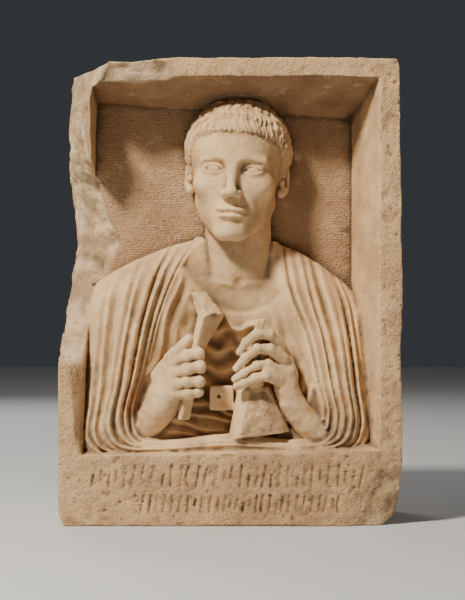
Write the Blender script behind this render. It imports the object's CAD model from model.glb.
"""The looks of a carved marble grave stele: one block with a framed niche and a draped half figure.

Every form is made in stone coordinates, in millimetres: x to the right, d the depth behind the front
of the frame, z up from the underside. They become metres in the part's frame when a mesh is made.
"""
import math

import bpy
import numpy as np
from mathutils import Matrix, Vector


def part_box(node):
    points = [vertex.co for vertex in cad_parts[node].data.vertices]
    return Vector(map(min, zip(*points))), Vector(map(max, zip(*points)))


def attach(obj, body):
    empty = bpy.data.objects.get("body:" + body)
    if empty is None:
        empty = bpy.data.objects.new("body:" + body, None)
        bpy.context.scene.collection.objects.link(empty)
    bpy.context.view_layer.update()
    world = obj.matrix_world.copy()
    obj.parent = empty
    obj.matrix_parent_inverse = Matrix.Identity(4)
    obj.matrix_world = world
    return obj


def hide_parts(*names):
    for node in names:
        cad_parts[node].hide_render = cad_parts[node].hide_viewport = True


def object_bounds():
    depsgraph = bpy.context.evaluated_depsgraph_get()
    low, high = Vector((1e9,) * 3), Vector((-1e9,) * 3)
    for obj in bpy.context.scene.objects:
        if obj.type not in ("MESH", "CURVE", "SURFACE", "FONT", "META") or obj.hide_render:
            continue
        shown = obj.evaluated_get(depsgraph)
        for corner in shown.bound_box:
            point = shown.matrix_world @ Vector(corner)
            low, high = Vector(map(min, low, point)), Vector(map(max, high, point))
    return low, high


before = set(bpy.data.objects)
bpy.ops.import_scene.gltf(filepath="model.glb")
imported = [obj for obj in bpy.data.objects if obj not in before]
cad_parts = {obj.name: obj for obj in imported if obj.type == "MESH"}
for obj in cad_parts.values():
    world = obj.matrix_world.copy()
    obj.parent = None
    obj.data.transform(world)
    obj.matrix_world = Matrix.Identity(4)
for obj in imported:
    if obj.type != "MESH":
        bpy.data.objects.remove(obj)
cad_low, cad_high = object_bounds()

low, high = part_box("stele")
HEIGHT = 788.0
HALF_WIDTH = 290.0
BLOCK_DEPTH = 250.0
NICHE_DEPTH = 130.0
FRONT = high[1] * 1000 - BLOCK_DEPTH  # where the frame's front lies along the part's Y, in mm
GRAIN = 1.6  # the step of the fine skin, in mm
MOST_FACES = 192000

# ---- small tools ---------------------------------------------------------------------------------


def lerp(a, b, t):
    return a + (b - a) * t


def smooth(t):
    t = np.clip(t, 0.0, 1.0)
    return t * t * (3.0 - 2.0 * t)


def dice(i, j=0, k=0, seed=0):
    """A repeatable number from 0 to 1 for each whole-number place."""
    n = (np.asarray(i, np.int64) * 73856093) ^ (np.asarray(j, np.int64) * 19349663)
    n = (n ^ (np.asarray(k, np.int64) * 83492791) ^ (seed * 265443)) & 0x7FFFFFFF
    n = ((n ^ (n >> 13)) * 1274126177) & 0x7FFFFFFF
    n = ((n ^ (n >> 15)) * 1103515245) & 0x7FFFFFFF
    return ((n ^ (n >> 16)) & 0xFFFFF) / 1048575.0


def swell(p, size, seed=0):
    """Smooth unevenness from -1 to 1 with lumps about that many mm across."""
    q = p / size
    cell = np.floor(q).astype(np.int64)
    f = q - cell
    f = f * f * (3.0 - 2.0 * f)
    total = 0.0
    for corner in range(8):
        step = [(corner >> axis) & 1 for axis in range(3)]
        weight = 1.0
        for axis in range(3):
            weight = weight * (f[:, axis] if step[axis] else 1.0 - f[:, axis])
        total = total + weight * dice(*(cell[:, axis] + step[axis] for axis in range(3)), seed)
    return 2.0 * total - 1.0


def rough(p, size, layers, seed=0, falloff=0.5):
    """Unevenness from -1 to 1 in layers, each half as large as the one before and fainter."""
    total, share, most = 0.0, 1.0, 0.0
    for layer in range(layers):
        total = total + share * swell(p, size * 0.5**layer, seed + layer)
        most += share
        share *= falloff
    return total / most


def spots(p, size, seed):
    """The 27 cells round each point, each with the way to the point from a spot thrown into the cell."""
    q = p / size
    cell = np.floor(q).astype(np.int64)
    for corner in range(27):
        step = [corner % 3 - 1, corner // 3 % 3 - 1, corner // 9 - 1]
        at = [cell[:, axis] + step[axis] for axis in range(3)]
        yield at, [q[:, axis] - at[axis] - dice(*at, seed + axis) for axis in range(3)]


def chipped(p, size, seed=0, bowl=0.8):
    """Shallow scars that meet in sharp ridges, as a struck stone breaks. About -0.3 to 0.4."""
    lowest = np.full(len(p), 1e9)
    for at, away in spots(p, size, seed):
        far = sum(a * a for a in away)
        tilt = sum(a * (dice(*at, seed + 5 + axis) - 0.5) for axis, a in enumerate(away))
        lowest = np.minimum(lowest, bowl * far + 1.3 * tilt + 0.4 * dice(*at, seed + 9))
    return lowest - 0.25


def pitted(p, size, seed=0):
    """Depth from 0 to 1 of scattered round pits, about one to each cell of that many mm."""
    depth = np.zeros(len(p))
    for at, away in spots(p, size, seed):
        wide = 0.14 + 0.3 * dice(*at, seed + 5) ** 3
        depth = np.maximum(depth, smooth(1.0 - np.sqrt(sum(a * a for a in away)) / wide) * (0.5 + wide))
    return depth


def read_off(table, at, column=1):
    """A table's value at places along its first column, on straight lines from row to row."""
    table = np.array(table, float)
    return np.interp(at, table[:, 0], table[:, column])


class Curve:
    """A centripetal curve through points, with t from 0 to 1 in even steps from point to point."""

    def __init__(self, points):
        self.points = np.array(points, float)
        first = 2 * self.points[0] - self.points[1]
        last = 2 * self.points[-1] - self.points[-2]
        self.padded = np.vstack([first, self.points, last])

    def __call__(self, t):
        spans = len(self.points) - 1
        t = np.clip(np.asarray(t, float), 0, 1) * spans
        i = np.minimum(t.astype(int), spans - 1)
        w = (t - i)[..., None]
        p0, p1, p2, p3 = (self.padded[i + k] for k in range(4))
        gap = lambda a, b: np.maximum(np.linalg.norm(a - b, axis=-1, keepdims=True) ** 0.5, 1e-4)
        g0, g1, g2 = gap(p0, p1), gap(p1, p2), gap(p2, p3)
        leave = ((p1 - p0) / g0 - (p2 - p0) / (g0 + g1) + (p2 - p1) / g1) * g1
        arrive = ((p2 - p1) / g1 - (p3 - p1) / (g1 + g2) + (p3 - p2) / g2) * g1
        return (
            p1
            + leave * w
            + (-3 * p1 + 3 * p2 - 2 * leave - arrive) * w**2
            + (2 * p1 - 2 * p2 + leave + arrive) * w**3
        )


def between(values, t, eased=True):
    """The value at t, from 0 to 1, of a list of evenly spaced values."""
    values = np.array(values, float)
    t = np.clip(t, 0, 1) * (len(values) - 1)
    i = np.clip(np.floor(t).astype(int), 0, len(values) - 2)
    w = smooth(t - i) if eased else t - i
    return lerp(values[i], values[i + 1], w)


# ---- meshes --------------------------------------------------------------------------------------


def deselect():
    if bpy.context.object and bpy.context.object.mode != "OBJECT":
        bpy.ops.object.mode_set(mode="OBJECT")
    bpy.ops.object.select_all(action="DESELECT")


def pick(obj):
    deselect()
    obj.select_set(True)
    bpy.context.view_layer.objects.active = obj


def added(name, primitive, **settings):
    deselect()
    primitive(**settings)
    obj = bpy.context.object
    obj.name = name
    return obj


def edited(obj, operator, **settings):
    """Runs one mesh operator on the whole of an object."""
    pick(obj)
    bpy.ops.object.mode_set(mode="EDIT")
    bpy.ops.mesh.select_all(action="SELECT")
    operator(**settings)
    bpy.ops.object.mode_set(mode="OBJECT")
    return obj


def corners(obj):
    flat = np.empty(3 * len(obj.data.vertices), np.float32)
    obj.data.vertices.foreach_get("co", flat)
    return flat.reshape(-1, 3).astype(float)


def set_corners(obj, points):
    obj.data.vertices.foreach_set("co", points.astype(np.float32).ravel())
    obj.data.update()


def to_part(stone):
    """Stone coordinates in mm to the part's frame in metres."""
    return np.column_stack([stone[:, 0], stone[:, 1] + FRONT, stone[:, 2]]) / 1000.0


def to_stone(part):
    return np.column_stack([part[:, 0] * 1000.0, part[:, 1] * 1000.0 - FRONT, part[:, 2] * 1000.0])


def outward(obj):
    return edited(obj, bpy.ops.mesh.normals_make_consistent, inside=False)


def slab(name, us, vs, front, back):
    """A grid extruded into a closed slab, with its front and back laid on two surfaces of (u, v)."""
    cells = {"x_subdivisions": len(us) - 1, "y_subdivisions": len(vs) - 1}
    obj = added(name, bpy.ops.mesh.primitive_grid_add, size=1, **cells)
    edited(obj, bpy.ops.mesh.extrude_region_move, TRANSFORM_OT_translate={"value": (0, 0, 1)})
    at = corners(obj)
    u = np.asarray(us, float)[np.round((at[:, 0] + 0.5) * (len(us) - 1)).astype(int)]
    v = np.asarray(vs, float)[np.round((at[:, 1] + 0.5) * (len(vs) - 1)).astype(int)]
    far = (at[:, 2] > 0.5)[:, None]
    set_corners(obj, to_part(np.where(far, back(u, v), front(u, v))))
    return outward(obj)


def evenly(count):
    return np.linspace(0, 1, count + 1)


def stack(*columns):
    return np.column_stack(np.broadcast_arrays(*columns))


def bar(name, a, b, wide_a, deep_a, wide_b, deep_b):
    """A four-sided bar from a to b. Each end has a width and a depth."""
    side = lambda depth: lambda u, v: stack(
        lerp(a[0], b[0], v) + (u - 0.5) * lerp(wide_a, wide_b, v),
        lerp(a[1], b[1], v) + depth * lerp(deep_a, deep_b, v),
        lerp(a[2], b[2], v),
    )
    return slab(name, evenly(1), evenly(2), side(-0.5), side(0.5))


def ball(name, segments, rings):
    return added(name, bpy.ops.mesh.primitive_uv_sphere_add, segments=segments, ring_count=rings, radius=1)


CAP_SHARE = 0.2  # the share of a ball's rings that rounds each end of a limb


def limb(name, joints, hinge=(0, 0, 1), segments=20, rings=28):
    """A round-ended limb along a curve through joints, each ((x, d, z), radius)."""
    obj = ball(name, segments, rings)
    at = corners(obj)
    turn = np.arccos(np.clip(at[:, 2], -1, 1)) / math.pi  # 0 at the tip, 1 at the root
    t = 1 - np.clip((turn - CAP_SHARE) / (1 - 2 * CAP_SHARE), 0, 1)
    cap = np.clip(1 - turn / CAP_SHARE, 0, 1) + np.clip((turn - 1) / CAP_SHARE + 1, 0, 1)
    path, radius = Curve([j[0] for j in joints]), between([j[1] for j in joints], t, eased=False)
    here = path(t)
    along = path(np.clip(t + 0.01, 0, 1)) - path(np.clip(t - 0.01, 0, 1))
    along /= np.linalg.norm(along, axis=1, keepdims=True)
    side = np.cross(along, np.array(hinge, float))
    side /= np.linalg.norm(side, axis=1, keepdims=True)
    up = np.cross(side, along)
    azimuth = np.arctan2(at[:, 1], at[:, 0])
    beyond = np.where(turn < 0.5, 1, -1) * np.sin(cap * math.pi / 2) * radius
    round_part = np.cos(cap * math.pi / 2) * radius
    stone = here + along * beyond[:, None]
    stone += side * (np.cos(azimuth) * round_part)[:, None] + up * (np.sin(azimuth) * round_part)[:, None]
    set_corners(obj, to_part(stone))
    return outward(obj)


def apply(obj, kind, **settings):
    pick(obj)
    modifier = obj.modifiers.new(kind.title(), kind)
    for key, value in settings.items():
        setattr(modifier, key, value)
    bpy.ops.object.modifier_apply(modifier=modifier.name)
    return obj


def in_order(obj):
    """Sorts a mesh's points and faces, so that each run goes on from the same mesh."""
    loose, points = obj.data, corners(obj)
    order = np.lexsort(points.T)
    rank = np.argsort(order)
    faces = [rank[list(polygon.vertices)].tolist() for polygon in loose.polygons]
    obj.data = bpy.data.meshes.new(obj.name)
    obj.data.from_pydata(points[order].tolist(), [], sorted(faces, key=sorted))
    bpy.data.meshes.remove(loose)
    return obj


def cut(obj, tool):
    apply(obj, "BOOLEAN", operation="DIFFERENCE", object=tool, solver="EXACT")
    bpy.data.objects.remove(tool, do_unlink=True)
    return in_order(obj)


def joined(name, objects):
    deselect()
    for obj in objects:
        obj.select_set(True)
    bpy.context.view_layer.objects.active = objects[0]
    bpy.ops.object.join()
    obj = bpy.context.object
    obj.name = name
    return obj


# ---- the block, its niche and its breaks ---------------------------------------------------------

# How far each side lies inside the block's full width, at each height.
LEFT_SIDE = [
    (0, 8), (22, 0), (300, 0), (350, 3), (401, 8), (458, 12), (479, 15), (504, 13),
    (548, 9), (570, 6), (622, 1), (652, 7), (678, 1), (709, 2), (740, 6), (788, 8),
]
RIGHT_SIDE = [
    (0, 34), (12, 18), (36, 6), (72, 2), (128, 0), (300, 4), (400, 1), (560, 3), (776, 5), (788, 9),
]
# How far the top edge lies above the block's full height, at each x.
TOP_EDGE = [(-290, -8), (-205, -7), (-112, -4), (-96, 0), (281, -1), (290, -6)]
# The niche's mouth at the front of the frame, and its ground at its full depth.
MOUTH = dict(left=-236, left_foot=-251, right=252, top=755, foot=117)
GROUND = dict(left=-234, left_foot=-249, right=211, top_left=723, top_right=696, foot=142)
FOOT_RISE = 10  # how much higher the niche's foot lies at its right end
CUTTER_STANDS_OUT = 20  # how far the niche's cutter starts in front of the frame


def block():
    def face(depth):
        def surface(u, v):
            z = v * HEIGHT
            x = lerp(-HALF_WIDTH + read_off(LEFT_SIDE, z), HALF_WIDTH - read_off(RIGHT_SIDE, z), u)
            return stack(x, depth, z + read_off(TOP_EDGE, x) * v)

        return surface

    return slab("block", evenly(12), evenly(64), face(0.0), face(BLOCK_DEPTH))


def niche():
    def at(depth):
        def surface(u, v):
            left_foot = lerp(MOUTH["left_foot"], GROUND["left_foot"], depth)
            left = lerp(left_foot, lerp(MOUTH["left"], GROUND["left"], depth), v)
            right = lerp(MOUTH["right"], GROUND["right"], depth)
            top = lerp(MOUTH["top"], lerp(GROUND["top_left"], GROUND["top_right"], u), depth)
            foot = lerp(MOUTH["foot"], GROUND["foot"], depth) + FOOT_RISE * u
            return stack(lerp(left, right, u), NICHE_DEPTH * depth, lerp(foot, top, v))

        return surface

    return slab("niche", evenly(1), evenly(1), at(-CUTTER_STANDS_OUT / NICHE_DEPTH), at(1.0))


# Height, where the fracture starts, its depth there, and its depth at the block's outer side.
LEFT_BREAK = [
    (116, -251, 3, -26), (150, -250, 22, -40), (215, -248, 27, -40), (270, -246, 32, -20),
    (296, -244, 42, 62), (330, -242, 60, 112), (365, -240, 84, 146), (402, -234, 116, 172),
    (436, -214, 134, 200), (484, -192, 134, 222), (530, -214, 134, 230), (588, -230, 128, 224),
    (625, -236, 30, 212), (660, -236, 12, 228), (722, -238, 6, 238), (760, -214, -2, 243),
    (800, -196, -6, 250),
]
PAST = 12  # how far a cutter reaches past the block's side
OUTER = -HALF_WIDTH - PAST


def left_fracture(x, z):
    """Depth of the fracture of the left side, with its struck facets. Below zero it doesn't cut."""
    start, shallow, deep = (read_off(LEFT_BREAK, z, i) for i in (1, 2, 3))
    u = np.clip((start - x) / (start - OUTER), 0, 1)
    p = np.column_stack([x, 0 * x, z])
    struck = 34 * chipped(p * [1, 1, 0.6], 36, 3) + 10 * chipped(p, 15, 8) + 2.5 * rough(p, 20, 3, 4)
    inner = smooth(u / 0.12) * smooth((z - 250) / 70)
    return lerp(shallow, deep, u**0.8) + struck * lerp(0.12, 1.0, inner) * lerp(1.0, 0.6, u)


def left_break():
    def fracture(u, v):
        z = lerp(LEFT_BREAK[0][0], LEFT_BREAK[-1][0], v)
        x = lerp(read_off(LEFT_BREAK, z), OUTER, u)
        return stack(x, left_fracture(x, z), z)

    def air(u, v):
        place = fracture(u, v)
        return stack(place[:, 0], -90.0, place[:, 2])

    return slab("left_break", evenly(24), evenly(170), air, fracture)


BITE = dict(left=-226, right=-78, foot=712, top=783)
CORNER = dict(left=178, right=HALF_WIDTH + PAST, foot=-6, top=132)


def lintel_fracture(x, z):
    """Depth of the bite out of the lintel's lower edge."""
    u = (x - BITE["left"]) / (BITE["right"] - BITE["left"])
    v = (z - BITE["foot"]) / (BITE["top"] - BITE["foot"])
    taper = smooth((1 - u) / 0.28) * smooth((u + 0.12) / 0.3)
    p = np.column_stack([x, 0 * x, z])
    return lerp(44, 6, v) * taper + (9 * chipped(p, 24, 21) + 3 * rough(p, 18, 3, 22)) * taper - 3


def corner_fracture(x, z):
    """Depth of the worn lower right corner of the band."""
    u = np.clip((x - CORNER["left"]) / (CORNER["right"] - CORNER["left"]), 0, 1)
    v = np.clip((z - CORNER["foot"]) / (CORNER["top"] - CORNER["foot"]), 0, 1)
    p = np.column_stack([x, 0 * x, z])
    worn = 34 * u**1.4 * (1 - v**1.5)
    return worn + (9 * chipped(p, 26, 31) + 4 * rough(p, 20, 3, 32)) * smooth(worn / 12) - 1.5


def carved_break(name, place, depth, columns, rows):
    def fracture(u, v):
        x, z = lerp(place["left"], place["right"], u), lerp(place["foot"], place["top"], v)
        return stack(x, np.maximum(depth(x, z), -25), z)

    def air(u, v):
        x, z = lerp(place["left"], place["right"], u), lerp(place["foot"], place["top"], v)
        return stack(x, -30.0, z)

    return slab(name, evenly(columns), evenly(rows), air, fracture)


def broken_block():
    stone = block()
    cut(stone, niche())
    cut(stone, left_break())
    cut(stone, carved_break("lintel_break", BITE, lintel_fracture, 50, 24))
    cut(stone, carved_break("corner_break", CORNER, corner_fracture, 36, 40))
    return stone


# ---- the mantle and the tunic --------------------------------------------------------------------

OUTER_EDGE = Curve([
    (-243, 117, 409), (-247, 90, 372), (-248, 66, 293), (-249, 46, 205), (-252, 32, 138), (-232, 25, 121),
    (0, 24, 121),
    (222, 30, 128), (240, 46, 160), (236, 58, 225), (229, 80, 315), (224, 98, 368), (208, 112, 402),
])
INNER_EDGE = Curve([
    (-49, 92, 489), (-80, 68, 440), (-112, 54, 366), (-138, 46, 268), (-157, 40, 190), (-140, 32, 147),
    (0, 24, 152),
    (135, 32, 149), (149, 37, 190), (137, 43, 240), (118, 53, 318), (88, 66, 395), (73, 92, 482),
])
FOLDS = 8
FOLD_DEPTH = 17
GROOVES_LEFT = np.array([0, 0.17, 0.31, 0.46, 0.58, 0.73, 0.84, 0.94, 1])
GROOVES_RIGHT = np.array([0, 0.12, 0.22, 0.34, 0.48, 0.62, 0.74, 0.86, 1])
DEEP_LEFT = np.array([0.5, 1.0, 0.8, 1.1, 0.8, 1.35, 0.9, 1.2, 0.2]) * FOLD_DEPTH
DEEP_RIGHT = np.array([0.5, 0.9, 1.1, 0.8, 1.3, 0.8, 1.0, 1.25, 0.2]) * FOLD_DEPTH
LEAN = [0.3, -0.4, 0.35, -0.5, 0.4, -0.2, 0.5, -0.3]  # which way each fold's crest leans
ROUNDNESS = [1.0, 1.3, 0.85, 1.2, 0.9, 1.15, 0.8, 0.9]  # under 1 the crest is broad and the groove narrow
GROOVE_BOTTOM = 0.25  # how widely the bottom of a groove is rounded
PROUD = [1.0, 3.5, -2.0, 4.0, -1.0, 4.5, 0.0, 2.5]  # how far each crest stands out, in mm
FULL_WIDTH = 110
SHOULDER_ROLL = 0.1
SHOULDER_RISE = 9
CLOSE_ROWS = 0.03  # the share of the mantle's length, at each shoulder, where its rows lie closer


def mantle_front(u, v):
    """The mantle's surface. u runs from its outer edge to its inner edge, v from shoulder to shoulder."""
    side = smooth((v - 0.35) / 0.3)
    grooves = lerp(GROOVES_LEFT[None, :], GROOVES_RIGHT[None, :], side[:, None])
    wander = 0.016 * np.sin(2 * math.pi * (2.1 * v[:, None] + 0.31 * np.arange(FOLDS + 1)[None, :]))
    grooves = grooves + wander * np.sin(math.pi * grooves)
    waning = 0.72 + 0.28 * np.cos(2 * math.pi * (1.5 * v[:, None] + 0.37 * np.arange(FOLDS + 1)[None, :]))
    deep = lerp(DEEP_LEFT[None, :], DEEP_RIGHT[None, :], side[:, None]) * waning
    full = math.hypot(1, GROOVE_BOTTOM) - GROOVE_BOTTOM
    drop, fine, proud = np.zeros(len(u)), np.zeros(len(u)), np.zeros(len(u))
    for i in range(FOLDS):
        t = (u - grooves[:, i]) / (grooves[:, i + 1] - grooves[:, i])
        inside = (t >= 0) & (t <= 1)
        leaning = np.clip(t, 0, 1) ** (2.0 ** LEAN[i])
        crest = np.sin(math.pi * leaning) ** ROUNDNESS[i]
        crest = (np.sqrt(crest**2 + GROOVE_BOTTOM**2) - GROOVE_BOTTOM) / full
        here = lerp(deep[:, i], deep[:, i + 1], np.clip(t, 0, 1)) * (1 - crest)
        drop = np.where(inside, here, drop)
        comes = smooth(1.4 * np.sin(2 * math.pi * (1.7 * v + 0.23 * i + 0.1)))
        fine = np.where(inside, np.exp(-(((leaning - 0.5 - 0.1 * LEAN[i]) / 0.13) ** 2)) * comes, fine)
        swells = 0.65 + 0.35 * np.sin(2 * math.pi * (2.3 * v + 0.41 * i))
        proud = np.where(inside, PROUD[i] * swells * crest, proud)
    outer, inner = OUTER_EDGE(v), INNER_EDGE(v)
    width = np.linalg.norm(outer - inner, axis=1)
    place = lerp(outer, inner, u[:, None])
    to_end = np.minimum(v, 1 - v)
    rolled = 1 - np.sqrt(1 - (1 - np.clip(to_end / SHOULDER_ROLL, 0, 1)) ** 2)
    bulge = (8 + 30 * np.sin(2 * math.pi * v) ** 2) * np.sin(math.pi * u)
    hump = SHOULDER_RISE * np.sin(math.pi * u) * (1 - smooth(to_end / 0.15))
    shallow = np.clip(width / FULL_WIDTH, 0.42, 1) * lerp(0.35, 1, smooth(to_end / 0.12))
    depth = place[:, 1] - bulge + 20 * rolled + (drop + 4.0 * fine - proud) * shallow
    return stack(place[:, 0], depth, place[:, 2] + hump)


def mantle():
    back = lambda u, v: stack(mantle_front(u, v)[:, 0], NICHE_DEPTH + 15, mantle_front(u, v)[:, 2])
    end = 2 * CLOSE_ROWS * (0.5 - 0.5 * np.cos(evenly(24) * math.pi))[:13]
    rows = np.concatenate([end, lerp(CLOSE_ROWS, 1 - CLOSE_ROWS, evenly(440))[1:-1], 1 - end[::-1]])
    return slab("mantle", evenly(190), np.unique(rows), mantle_front, back)


CHEST_ROWS = 5 / 12
TUCK = 0.09
SWAGS = 9
NECKLINE = 0.2
SWAG_DEPTH = 10
NECKLINE_STEP = 4.5
SAG = [34, 54, 66, 58, 28, 14]
HOLLOW = [-12, 4, 26, 40, 30, 24]
POCKET = dict(x=113, z=262, wide=13, tall=30, depth=18)  # the dark hollow beside the holding hand's sleeve


def tunic_front(s, t):
    """The tunic's surface. s runs from side to side, t from the neck to the hands and under the mantle."""
    below, t = np.maximum(t - 1, 0), np.minimum(t, 1)
    place = lerp(INNER_EDGE(t * CHEST_ROWS), INNER_EDGE(1 - t * CHEST_ROWS), s[:, None])
    middle = np.clip(4 * s * (1 - s), 0, 1)
    tucked = 190 * np.maximum(np.maximum(-s, s - 1), 0) + 60 * below
    wavy = 0.3 * np.sin(2 * math.pi * (1.5 * s + 1.1 * t)) + 0.12 * np.sin(2 * math.pi * (4 * s - 2 * t))
    swag = (t - NECKLINE) / (1 - NECKLINE) * SWAGS
    swag = np.where(swag > 0, swag + wavy * smooth(swag), swag)
    # Swags hang between the hands. Beside them the cloth falls in ridges along the mantle's edge.
    hanging = (1 - np.abs(np.sin(math.pi * np.maximum(swag, 0)))) ** 1.2 * smooth(middle * 1.8 - 0.5)
    across = s * 13 + 0.5 * np.sin(2 * math.pi * (1.3 * t + 0.2)) + 0.25 * np.sin(2 * math.pi * 3.1 * t)
    falling = (1 - np.abs(np.sin(math.pi * across))) * (0.7 + 0.3 * np.sin(2 * math.pi * (across / 2.7 + t)))
    folds = np.maximum(hanging, falling * smooth(1.45 - middle * 1.8)) * smooth(swag)
    fading = 1 - 0.8 * smooth((t - 0.84) / 0.14)
    clothed = np.clip(swag * 5, 0, 1) * NECKLINE_STEP + SWAG_DEPTH * folds * fading
    x, z = place[:, 0], place[:, 2] - between(SAG, t) * middle - 250 * below
    aside, above = (x - POCKET["x"]) / POCKET["wide"], (z - POCKET["z"]) / POCKET["tall"]
    pocket = POCKET["depth"] * np.exp(-(aside**2) - above**2)
    depth = place[:, 1] + 6 + tucked + between(HOLLOW, t) * middle - clothed + pocket
    return stack(x, depth, z)


def tunic():
    back = lambda s, t: stack(tunic_front(s, t)[:, 0], NICHE_DEPTH + 15, tunic_front(s, t)[:, 2])
    columns = np.concatenate([[-TUCK], evenly(110), [1 + TUCK]])
    rows = np.concatenate([evenly(190), [1.02, 1.05]])
    return slab("tunic", columns, rows, tunic_front, back)


# ---- the flesh, as fields of distance from its surface --------------------------------------------

AWAY = 50.0  # a distance that is surely outside, in mm


def blend(p, q, k):
    return np.minimum(p, q) - np.maximum(k - np.abs(p - q), 0) ** 2 * 0.25 / k


def carve(p, q, k):
    return -blend(-p, q, k)


def egg(p, centre, radii):
    q = (p - centre) / radii
    near = np.sqrt((q * q).sum(1))
    steep = np.sqrt(((q / radii) ** 2).sum(1))
    return near * (near - 1) / np.maximum(steep, 1e-9)


def rod(p, a, b, ra, rb=None):
    a, b = np.array(a, float), np.array(b, float)
    axis = b - a
    t = np.clip(((p - a) @ axis) / (axis @ axis), 0, 1)
    return np.linalg.norm(p - a - t[:, None] * axis, axis=1) - lerp(ra, ra if rb is None else rb, t)


HEAD = dict(x=11, d=97, z=601, turn=5, tilt=3, breadth=1.08)
EYE = 31  # from the middle of the face to the middle of an eye: the eyes are an eye's width apart
HALF_EYE = 15.0
BROW = 15
NOSE_BASE = -50
MOUTH_LINE = -73
HAIRLINE = 66
CROWN_TILT = math.radians(24)


def turned(degrees, first, second):
    """A turn from the first axis towards the second."""
    angle = math.radians(degrees)
    turn = np.eye(3)
    turn[first, first] = turn[second, second] = math.cos(angle)
    turn[second, first], turn[first, second] = math.sin(angle), -math.sin(angle)
    return turn


def head_turn():
    """Head coordinates to stone coordinates: turned about z, then tilted about d."""
    return turned(-HEAD["turn"], 0, 1) @ turned(HEAD["tilt"], 2, 0)


def to_head(stone):
    return (stone - [HEAD["x"], HEAD["d"], HEAD["z"]]) @ head_turn() / [HEAD["breadth"], 1, 1]


def from_head(p):
    return (p * [HEAD["breadth"], 1, 1]) @ head_turn().T + [HEAD["x"], HEAD["d"], HEAD["z"]]


def face_field(p0):
    p = np.column_stack([np.abs(p0[:, 0]), p0[:, 1], p0[:, 2]])
    a, c = p[:, 0], p[:, 2]
    f = egg(p, (0, 8, 32), (78, 97, 90))
    f = blend(f, egg(p, (0, -18, -38), (58, 66, 80)), 24)
    f = blend(f, rod(p, (47, -6, -54), (14, -63, -105), 14), 22)
    f = blend(f, egg(p, (0, -69, -103), (19, 17, 16)), 14)
    f = blend(f, egg(p, (38, -52, -25), (24, 23, 20)), 24)
    f = blend(f, egg(p, (0, -66, -72), (33, 19, 26)), 16)
    f = blend(f, rod(p, (9, -83, BROW + 1), (46, -68, BROW), 6.5), 11)
    f = carve(f, egg(p, (EYE - 2, -94, 1), (20, 24, 14)), 9)
    # The lids close over the ball outside an almond opening, and the ball shows in it.
    across = np.clip(1 - ((a - EYE) / HALF_EYE) ** 2, 0, 1)
    opening = np.minimum(7.6 * across - (c + 1.0), 5.0 * across + (c + 1.0)) - 0.4
    opening = np.where(np.abs(a - EYE) > HALF_EYE, -2.0, opening)
    lid = carve(egg(p, (EYE, -65, -1), (18.0, 18.4, 15.8)), -opening, 1.4)
    f = blend(f, lid, 4)
    f = blend(f, egg(p, (EYE, -65, -1), (15.6, 14.2, 13.8)), 1)
    f = carve(f, rod(p, (EYE - 13, -84, 9), (EYE + 13, -76, 10), 1.6), 4)
    # The nose.
    f = blend(f, rod(p, (0, -84, 10), (0, -101, -36), 6.5, 7.5), 12)
    f = blend(f, egg(p, (0, -102, -40), (10, 9, 8)), 6)
    f = blend(f, egg(p, (10.5, -90, -42), (6.5, 10, 7)), 6)
    f = carve(f, egg(p, (6.5, -95, NOSE_BASE - 3), (3.8, 6, 4)), 2.5)
    f = carve(f, rod(p, (0, -98, NOSE_BASE - 6), (0, -97, MOUTH_LINE + 10), 2.2), 4)
    # The lips.
    f = blend(f, egg(p, (7, -84, MOUTH_LINE + 5.5), (15, 8.5, 5.2)), 4)
    f = blend(f, egg(p, (0, -84, MOUTH_LINE - 6.5), (17, 8.4, 5.6)), 5)
    f = carve(f, rod(p, (0, -94, MOUTH_LINE), (25, -83, MOUTH_LINE - 1), 1.3), 2.5)
    f = carve(f, egg(p, (27, -82, MOUTH_LINE - 1), (3.5, 4, 3)), 5)
    f = carve(f, rod(p, (0, -94, -91), (13, -88, -90), 5), 8)
    return carve(f, rod(p, (22, -85, -48), (36, -74, -74), 1.6), 10)


def ear_field(p0):
    p = np.column_stack([np.abs(p0[:, 0]), p0[:, 1], p0[:, 2]])
    shell = egg(p, (76, 6, -9), (9.5, 17, 29))
    f = carve(shell, egg(p, (87, 1, -5), (11, 11, 20)), 3)
    f = blend(f, rod(p, (81, 5, -22), (82, 5, 6), 2.4), 3)
    f = carve(f, egg(p, (84, -4, -13), (12, 7, 9)), 3)
    f = blend(f, egg(p, (74, -12, -14), (5, 4, 6)), 3)
    return blend(f, egg(p, (73, -3, -33), (6.5, 8, 8)), 5)


def hairline(p):
    """Distance inside the hair's edge: a level fringe, short sideburns and the nape behind the ears."""
    fringe = p[:, 2] - HAIRLINE + 9 * (p[:, 0] / 60) ** 2
    foot = p[:, 2] + lerp(12, 62, smooth((p[:, 1] - 10) / 22))
    temple = np.minimum(p[:, 1] + 19 + 0.5 * p[:, 2], foot)
    return -blend(-fringe, -temple, 10)


SCALP_MIDDLE = np.array([0, 8, 20])
SCALP_RADIUS = 95.0


def from_crown(p):
    """The distance down from the crown, in mm, and the part of the way round from the forehead."""
    q = p - SCALP_MIDDLE
    q = q / np.linalg.norm(q, axis=1, keepdims=True)
    up = q[:, 2] * math.cos(CROWN_TILT) + q[:, 1] * math.sin(CROWN_TILT)
    ahead = -q[:, 1] * math.cos(CROWN_TILT) + q[:, 2] * math.sin(CROWN_TILT)
    return np.arccos(np.clip(up, -1, 1)) * SCALP_RADIUS, np.arctan2(q[:, 0], ahead) / (2 * math.pi)


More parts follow.
